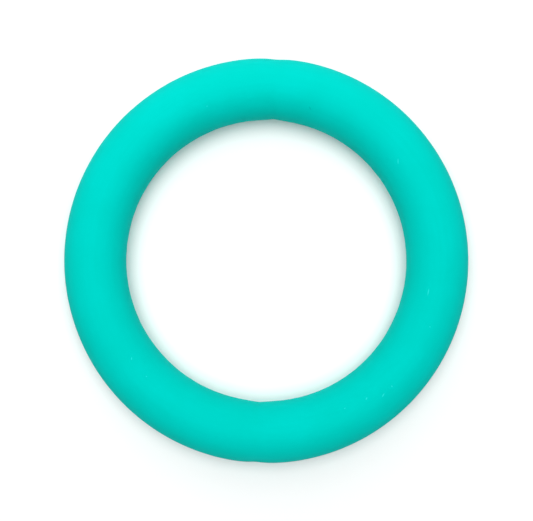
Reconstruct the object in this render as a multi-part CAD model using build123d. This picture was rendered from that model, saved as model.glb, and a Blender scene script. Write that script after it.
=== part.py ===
from build123d import *
from math import cos, pi, radians, sin, sqrt
import os

# A baby's teething ring: one closed ring of solid silicone rubber, round in section.
#
# It is moulded in one piece, so it is one solid. The two halves of the mould meet at the ring's mid
# height and leave a fine ridge round its outside and another round its inside. At both ends of the
# diameter along Y the ring has a waist, where it is slightly thinner.
#
# Lengths are in millimetres and angles in degrees. +Z is the ring's axis, the ring rests on the
# plane z = 0, and the origin is the ring's centre on that plane.

# Driving dimensions
OUTER_DIAMETER = 65.0  # over the outer ridge
TUBE_DIAMETER = 9.9  # the round section, without the ridges
RIDGE_WIDTH = 0.30
RIDGE_HEIGHT = 0.05
WAIST_ANGLES = (90, 270)  # where the waists are, anticlockwise from +X
WAIST_DEPTH = 0.17  # how far the surface sinks, all round the section
WAIST_HALF_WIDTH = 2.7  # angle from the middle at which about half of that depth is left
WAIST_REACH = 10.0  # angle from the middle to the plain tube
WAIST_STEP = 1.25  # angle between the sections that shape a waist

# Worked out from them
TUBE_RADIUS = TUBE_DIAMETER / 2
RING_RADIUS = OUTER_DIAMETER / 2 - RIDGE_HEIGHT - TUBE_RADIUS


def bell(angle):
    """A smooth bump of height 1, which is down to one half at the waist's half width."""
    return 1 / (1 + (angle / WAIST_HALF_WIDTH) ** 2)


def sink(angle):
    """How far the surface lies under the plain tube, at an angle from the middle of a waist."""
    return WAIST_DEPTH * (bell(angle) - bell(WAIST_REACH)) / (1 - bell(WAIST_REACH))


def section(angle, radius=TUBE_RADIUS):
    """The face that the ring shows when cut at an angle: a round tube with a ridge on two sides."""
    outwards = Vector(cos(radians(angle)), sin(radians(angle)), 0)
    centre = outwards * RING_RADIUS + Vector(0, 0, TUBE_RADIUS)
    cut = Plane(origin=centre, x_dir=outwards, z_dir=outwards.cross(Vector(0, 0, 1)))

    foot_y = RIDGE_WIDTH / 2
    foot_x = sqrt(radius**2 - foot_y**2)
    crest_x = radius + RIDGE_HEIGHT
    outline = [
        ThreePointArc((foot_x, foot_y), (0, radius), (-foot_x, foot_y)),
        ThreePointArc((-foot_x, foot_y), (-crest_x, 0), (-foot_x, -foot_y)),
        ThreePointArc((-foot_x, -foot_y), (0, -radius), (foot_x, -foot_y)),
        ThreePointArc((foot_x, -foot_y), (crest_x, 0), (foot_x, foot_y)),
    ]
    return cut * make_face(outline)


def plain_tube(start, end):
    """The ring at its full thickness, from one angle round to another."""
    return revolve(section(start), Axis.Z, end - start)


def waist(middle):
    """The ring where it thins and thickens again, about an angle."""
    steps = round(WAIST_REACH / WAIST_STEP)
    offsets = [WAIST_STEP * i for i in range(-steps, steps + 1)]
    return loft([section(middle + offset, TUBE_RADIUS - sink(offset)) for offset in offsets])


def silicone_ring():
    """The whole ring: its waists, each followed by plain tube up to the next one."""
    ring = Part()
    between_waists = 360 / len(WAIST_ANGLES)
    for angle in WAIST_ANGLES:
        ring += waist(angle)
        ring += plain_tube(angle + WAIST_REACH, angle + between_waists - WAIST_REACH)
    return ring


ring = silicone_ring()
os.makedirs("parts", exist_ok=True)
export_step(ring, "parts/silicone_ring.step")

plain_volume = 2 * pi**2 * RING_RADIUS * TUBE_RADIUS**2
print(f"{len(ring.solids())} solid of {ring.volume:.0f} mm3; a plain ring has {plain_volume:.0f} mm3")
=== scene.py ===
import math

import bpy
from mathutils import Matrix, Vector, noise


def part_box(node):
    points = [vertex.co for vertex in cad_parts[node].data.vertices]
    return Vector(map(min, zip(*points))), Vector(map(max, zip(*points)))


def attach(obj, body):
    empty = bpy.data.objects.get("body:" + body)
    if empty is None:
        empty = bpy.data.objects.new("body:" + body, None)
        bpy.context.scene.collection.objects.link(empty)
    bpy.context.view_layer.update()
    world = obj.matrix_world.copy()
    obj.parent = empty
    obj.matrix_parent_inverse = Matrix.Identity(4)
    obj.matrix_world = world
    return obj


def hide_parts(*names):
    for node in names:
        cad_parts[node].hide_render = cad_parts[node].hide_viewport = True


# A silicone teething ring lying on a white table, seen straight from above.
#
# One piece, the moulded ring, stands for the CAD ring. Its size comes from the frame; the fine things
# that CAD leaves plain are added here: the hand-trimmed moulding ridge, the slight unevenness of soft
# rubber, and the matte surface with the mould's turning marks and a few specks of dust.
# Lengths are in metres and angles in degrees. An angle round the ring starts at +X and turns towards
# +Y. An angle round the tube starts at the outside of the ring and turns upwards. Scales of noise are
# in repeats per metre, and colours are linear light.

MM = 0.001

# The ring's own sizes that the frame's box doesn't give
RIDGE_WIDTH = 0.30 * MM
RIDGE_HEIGHT = 0.05 * MM
WAIST_ANGLES = (90, 270)
WAIST_DEPTH = 0.17 * MM
WAIST_HALF_WIDTH = 2.7
WAIST_REACH = 10.0

# How the soft moulding strays from its drawing
OUT_OF_ROUND = 0.045 * MM  # how much further out it lies on its long axis, and further in across it
LONG_AXIS = 107
SWELL = 0.012 * MM
SWELL_SCALE = 120
SWELL_INWARDS = 0.5  # share of the swell taken off everywhere, so that few places stand proud

# How hand trimming left the ridge: the usual share of its height, and how far that varies
TRIM_SHARE = 0.75
TRIM_VARIES = 0.5
TRIM_SCALE = 900

# How finely the mesh is cut
STEPS_AROUND = 720
STEPS_TUBE = 96
RIDGE_POINTS = (0.25, 0.5, 0.75, 1.0, 1.6)  # extra points beside a ridge's middle, in half widths

# The rubber's colours
DEEP_TURQUOISE = (0.0, 0.548, 0.474, 1)
BRIGHT_TURQUOISE = (0.0, 0.572, 0.506, 1)
CLOUD_SCALE = 110
TONE_RANGE = (0.15, 0.35)  # clouds times marks, where the colour is deep and where it is bright
DUST = (0.03, 0.78, 0.74, 1)
DUST_STRENGTH = 0.5
GRIME = (0.0, 0.36, 0.32, 1)
GRIME_STRENGTH = 0.6

# Its surface: a fine grain, and the mould's turning marks, which drift as they go round
GRAIN_SCALE = 7000
GRAIN_RANGE = (0.3, 0.7)  # the grain where the surface is smoothest and where it is roughest
ROUGHNESS_RANGE = (0.68, 0.78)
MARK_SCALE = 2600
MARK_RANGE = (0.35, 0.65)
MARK_DRIFT = 4 * MM
MARK_DRIFT_SCALE = 45
RELIEF = 0.003 * MM
SHINE = 0.03
SHINE_TINT = (0, 1, 0.9, 1)

# How light spreads under the surface: how much of it, how deep, and each colour's share of that depth
GLOW = 0.25
GLOW_DEPTH = 1.2 * MM
GLOW_COLOURS = (0.5, 1.0, 1.0)

# Specks on the rubber: the angles round the ring and round the tube, the length, and the angle
# between the speck and the ring's run
PALE_SPECKS = (
    (114, 108, 0.35 * MM, 40),
    (40, 109, 1.10 * MM, -38),
    (219, 106, 0.60 * MM, -38),
    (227, 106, 0.35 * MM, 30),
    (352, 109, 1.40 * MM, 0),
    (341, 88, 0.35 * MM, 60),
    (318, 86, 0.40 * MM, 80),
    (314, 85, 0.90 * MM, 20),
    (309, 99, 0.60 * MM, 25),
    (301, 105, 0.40 * MM, 10),
)
DARK_SPECKS = (
    (77, 121, 0.80 * MM, 130),
    (170, 30, 0.40 * MM, 20),
)
SPECK_WIDTH = 0.24 * MM
SPECK_EDGE = 0.5  # share of a speck, from its rim inwards, over which it fades in

# The light: a wide soft sky overhead, and a soft lamp close by on the far side of the table
SKY_ANGLE = 53
SKY_STRENGTH = 2.8
LAMP_LEAN = 40
LAMP_TURN = 101
LAMP_DISTANCE = 0.20
LAMP_SIZE = 0.30
LAMP_POWER = 0.30
TABLE_WHITE = (0.90, 0.90, 0.90, 1)
TABLE_HALF = 4.0
ROOM_WHITE = (0.80, 0.80, 0.80, 1)

# The picture
CAMERA_LENS = 85.0
CAMERA_ROLL = 3.0
CAMERA_SIDEWAYS = 0.03 * MM
CAMERA_UP = 0.03 * MM
CAMERA_NEAREST = 10 * MM
PICTURE_WIDTH = 85.6 * MM

# The frame, and what it says of the ring's size
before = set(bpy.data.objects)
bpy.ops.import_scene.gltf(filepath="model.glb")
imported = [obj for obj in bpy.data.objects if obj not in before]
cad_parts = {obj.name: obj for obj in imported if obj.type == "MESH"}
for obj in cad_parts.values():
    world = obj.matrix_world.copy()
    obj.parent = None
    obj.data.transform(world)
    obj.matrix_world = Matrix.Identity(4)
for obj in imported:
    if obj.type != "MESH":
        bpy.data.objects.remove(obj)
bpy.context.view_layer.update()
ring_low, ring_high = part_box("silicone_ring")
TUBE_RADIUS = (ring_high.z - ring_low.z) / 2
RING_RADIUS = ring_high.x - RIDGE_HEIGHT - TUBE_RADIUS


def bell(angle):
    """A smooth bump of height 1, which is down to one half at the waist's half width."""
    return 1 / (1 + (angle / WAIST_HALF_WIDTH) ** 2)


def waist_sink(angle):
    """How far the surface lies under the plain tube at an angle round the ring."""
    nearest = min(abs((angle - waist + 180) % 360 - 180) for waist in WAIST_ANGLES)
    if nearest > WAIST_REACH:
        return 0
    return WAIST_DEPTH * (bell(nearest) - bell(WAIST_REACH)) / (1 - bell(WAIST_REACH))


def ridge_rise(across, place):
    """Height of the moulding ridge at a distance from its middle; trimming left it uneven."""
    if abs(across) >= RIDGE_WIDTH / 2:
        return 0
    trimmed = TRIM_SHARE + TRIM_VARIES * noise.noise(place * TRIM_SCALE)
    return RIDGE_HEIGHT * min(1, trimmed) * (1 - (2 * across / RIDGE_WIDTH) ** 2)


def directions(around, tube):
    """The way out from the ring's axis, and the way out of the tube's surface, at two angles."""
    turn, roll = math.radians(around), math.radians(tube)
    outwards = Vector((math.cos(turn), math.sin(turn), 0))
    return outwards, outwards * math.cos(roll) + Vector((0, 0, math.sin(roll)))


def ring_point(around, tube):
    """The surface point at an angle round the ring and an angle round the tube."""
    outwards, normal = directions(around, tube)
    out_of_round = OUT_OF_ROUND * math.cos(math.radians(2 * (around - LONG_AXIS)))
    centre = outwards * (RING_RADIUS + out_of_round) + Vector((0, 0, TUBE_RADIUS))
    plain = centre + normal * TUBE_RADIUS
    swell = SWELL * (noise.noise(plain * SWELL_SCALE) - SWELL_INWARDS)
    ridge = ridge_rise(TUBE_RADIUS * normal.z, plain)
    return centre + normal * (TUBE_RADIUS - waist_sink(around) + swell + ridge)


def tube_angles():
    """Angles round the tube: even steps, and closer ones on the outer and the inner ridge."""
    even = [360 * i / STEPS_TUBE for i in range(STEPS_TUBE)]
    half_ridge = math.degrees(RIDGE_WIDTH / 2 / TUBE_RADIUS)
    close = [side * part * half_ridge for part in RIDGE_POINTS for side in (-1, 1)]
    return sorted(even + [(middle + angle) % 360 for middle in (0, 180) for angle in close])


def add_mesh(name, points, faces):
    """A new object with a mesh of the same name, in the scene."""
    mesh = bpy.data.meshes.new(name)
    mesh.from_pydata(points, [], faces)
    mesh.update()
    thing = bpy.data.objects.new(name, mesh)
    bpy.context.scene.collection.objects.link(thing)
    return thing


def make_ring():
    """The ring as a closed mesh of four-sided faces."""
    tubes = tube_angles()
    count = len(tubes)
    points = [ring_point(360 * i / STEPS_AROUND, tube) for i in range(STEPS_AROUND) for tube in tubes]
    faces = []
    for i in range(STEPS_AROUND):
        here = i * count
        there = (i + 1) % STEPS_AROUND * count
        for j in range(count):
            k = (j + 1) % count
            faces.append((here + j, there + j, there + k, here + k))
    ring = add_mesh("teething_ring", points, faces)
    ring.data.shade_smooth()
    return ring


class Graph:
    """The nodes of one new material, added and joined by name."""

    def __init__(self, name):
        self.material = bpy.data.materials.new(name)
        self.material.use_nodes = True
        self.tree = self.material.node_tree

    def put(self, socket, value):
        """Joins another node's output to a socket, or sets the socket's own value."""
        if isinstance(value, bpy.types.NodeSocket):
            self.tree.links.new(value, socket)
        else:
            socket.default_value = value

    def add(self, kind, inputs, output=0, **settings):
        """A node of a kind, whose inputs get values or other nodes' outputs; gives one output back."""
        node = self.tree.nodes.new(kind)
        for name, value in settings.items():
            setattr(node, name, value)
        for socket, value in inputs.items():
            self.put(node.inputs[socket], value)
        return node.outputs[output]

    def calculate(self, operation, first, second):
        """The sum, product or greater of two values, as the operation says."""
        return self.add("ShaderNodeMath", {0: first, 1: second}, operation=operation)

    def spread(self, value, old=(0, 1), new=(0, 1)):
        """A value from one range, carried over to another."""
        ends = {"From Min": old[0], "From Max": old[1], "To Min": new[0], "To Max": new[1]}
        return self.add("ShaderNodeMapRange", {"Value": value, **ends})

    def noise(self, place, scale, detail):
        """Soft random values between 0 and 1."""
        return self.add("ShaderNodeTexNoise", {"Vector": place, "Scale": scale, "Detail": detail})

    def mix(self, share, first, second):
        """The first colour, with a share of the second."""
        return self.add("ShaderNodeMixRGB", {"Fac": share, "Color1": first, "Color2": second})

    def surface(self, inputs):
        """The material, once its shader's inputs have got their values or other nodes' outputs."""
        shader = self.tree.nodes["Principled BSDF"]
        for socket, value in inputs.items():
            self.put(shader.inputs[socket], value)
        return self.material


def speck_frame(around, tube, lean):
    """The place of a speck on the ring, and the rotation that lays its own X axis along it."""
    outwards, normal = directions(around, tube)
    place = outwards * RING_RADIUS + Vector((0, 0, TUBE_RADIUS)) + normal * TUBE_RADIUS
    run = Matrix.Rotation(math.radians(lean), 3, normal) @ Vector((0, 0, 1)).cross(outwards)
    return place, Matrix((run, normal.cross(run), normal)).transposed().to_euler()


def speck_mask(graph, place, specks):
    """1 on the specks and 0 elsewhere, with soft edges."""
    mask = 0.0
    for around, tube, length, lean in specks:
        centre, rotation = speck_frame(around, tube, lean)
        size = (length / 2, SPECK_WIDTH / 2, SPECK_WIDTH / 2)
        inputs = {"Vector": place, "Location": centre, "Rotation": rotation, "Scale": size}
        inside = graph.add("ShaderNodeMapping", inputs, vector_type="TEXTURE")
        near = graph.add("ShaderNodeTexGradient", {"Vector": inside}, "Fac", gradient_type="SPHERICAL")
        mask = graph.calculate("MAXIMUM", mask, near)
    return graph.spread(mask, old=(0, SPECK_EDGE))


def turning_marks(graph, place):
    """Faint lines round the ring, left by the lathe that cut the mould; they come and go on the way."""
    apart = graph.add("ShaderNodeSeparateXYZ", {"Vector": place})
    height = apart.node.outputs["Z"]
    flat = graph.add("ShaderNodeVectorMath", {0: place, 1: (1, 1, 0)}, operation="MULTIPLY")
    radius = graph.add("ShaderNodeVectorMath", {0: flat}, "Value", operation="LENGTH")
    drift = graph.spread(graph.noise(place, MARK_DRIFT_SCALE, detail=1), new=(0, MARK_DRIFT))
    section = graph.add("ShaderNodeCombineXYZ", {"X": radius, "Y": height, "Z": drift})
    return graph.spread(graph.noise(section, MARK_SCALE, detail=2), new=MARK_RANGE)


def silicone():
    """Matte turquoise silicone rubber, a little translucent, with dust on it."""
    graph = Graph("matte_silicone")
    place = graph.add("ShaderNodeTexCoord", {}, "Object")
    marks = turning_marks(graph, place)
    grain = graph.noise(place, GRAIN_SCALE, detail=3)
    clouds = graph.noise(place, CLOUD_SCALE, detail=3)
    dust = speck_mask(graph, place, PALE_SPECKS)
    grime = speck_mask(graph, place, DARK_SPECKS)

    tone = graph.spread(graph.calculate("MULTIPLY", clouds, marks), old=TONE_RANGE)
    colour = graph.mix(tone, DEEP_TURQUOISE, BRIGHT_TURQUOISE)
    colour = graph.mix(graph.calculate("MULTIPLY", grime, GRIME_STRENGTH), colour, GRIME)
    colour = graph.mix(graph.calculate("MULTIPLY", dust, DUST_STRENGTH), colour, DUST)

    height = graph.calculate("ADD", graph.calculate("ADD", marks, grain), dust)
    return graph.surface({
        "Base Color": colour,
        "Roughness": graph.spread(grain, old=GRAIN_RANGE, new=ROUGHNESS_RANGE),
        "Normal": graph.add("ShaderNodeBump", {"Strength": 1.0, "Distance": RELIEF, "Height": height}),
        "Specular IOR Level": SHINE,
        "Specular Tint": SHINE_TINT,
        "Subsurface Weight": GLOW,
        "Subsurface Radius": GLOW_COLOURS,
        "Subsurface Scale": GLOW_DEPTH,
    })


def table_top():
    """Plain white, dead matte."""
    graph = Graph("white_table")
    return graph.surface({"Base Color": TABLE_WHITE, "Roughness": 1.0, "Specular IOR Level": 0.0})


def make_floor():
    """A wide table top under the ring."""
    corners = [(x * TABLE_HALF, y * TABLE_HALF, 0) for x, y in ((-1, -1), (1, -1), (1, 1), (-1, 1))]
    floor = add_mesh("floor", corners, [(0, 1, 2, 3)])
    floor.data.materials.append(table_top())


def make_light(name, kind, power, distance, lean=0, turn=0):
    """A light that leans from overhead by an angle towards an angle round the ring, and looks at it."""
    data = bpy.data.lights.new(name, kind)
    data.energy = power
    light = bpy.data.objects.new(name, data)
    bpy.context.scene.collection.objects.link(light)
    lean, turn = math.radians(lean), math.radians(turn)
    away = Vector((math.sin(lean) * math.cos(turn), math.sin(lean) * math.sin(turn), math.cos(lean)))
    light.location = away * distance
    light.rotation_mode = "QUATERNION"
    light.rotation_quaternion = away.to_track_quat("Z", "Y")
    light.visible_camera = False
    return data


def make_lights():
    """The sky, whose distance makes no difference, and the lamp."""
    sky = make_light("sky", "SUN", SKY_STRENGTH, distance=1.0)
    sky.angle = math.radians(SKY_ANGLE)
    lamp = make_light("lamp", "AREA", LAMP_POWER, LAMP_DISTANCE, LAMP_LEAN, LAMP_TURN)
    lamp.shape = "DISK"
    lamp.size = LAMP_SIZE


def make_room():
    """Surroundings as pale as the far table, which give no light of their own."""
    room = bpy.data.worlds.new("room")
    room.use_nodes = True
    nodes = room.node_tree.nodes
    background = nodes["Background"]
    background.inputs["Color"].default_value = ROOM_WHITE
    sight = nodes.new("ShaderNodeLightPath")
    room.node_tree.links.new(sight.outputs["Is Camera Ray"], background.inputs["Strength"])
    bpy.context.scene.world = room


def make_camera():
    """A camera straight above the ring, turned a little."""
    data = bpy.data.cameras.new("camera")
    data.lens = CAMERA_LENS
    data.clip_start = CAMERA_NEAREST
    camera = bpy.data.objects.new("camera", data)
    bpy.context.scene.collection.objects.link(camera)
    bpy.context.scene.camera = camera
    distance = PICTURE_WIDTH * CAMERA_LENS / data.sensor_width
    turned = Matrix.Rotation(math.radians(CAMERA_ROLL), 3, "Z")
    camera.location = turned @ Vector((CAMERA_SIDEWAYS, CAMERA_UP, TUBE_RADIUS + distance))
    camera.rotation_euler = turned.to_euler()


bpy.context.scene.view_settings.view_transform = "Standard"

ring = make_ring()
ring.data.materials.append(silicone())
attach(ring, "root")
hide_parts("silicone_ring")

make_floor()
make_lights()
make_room()
make_camera()
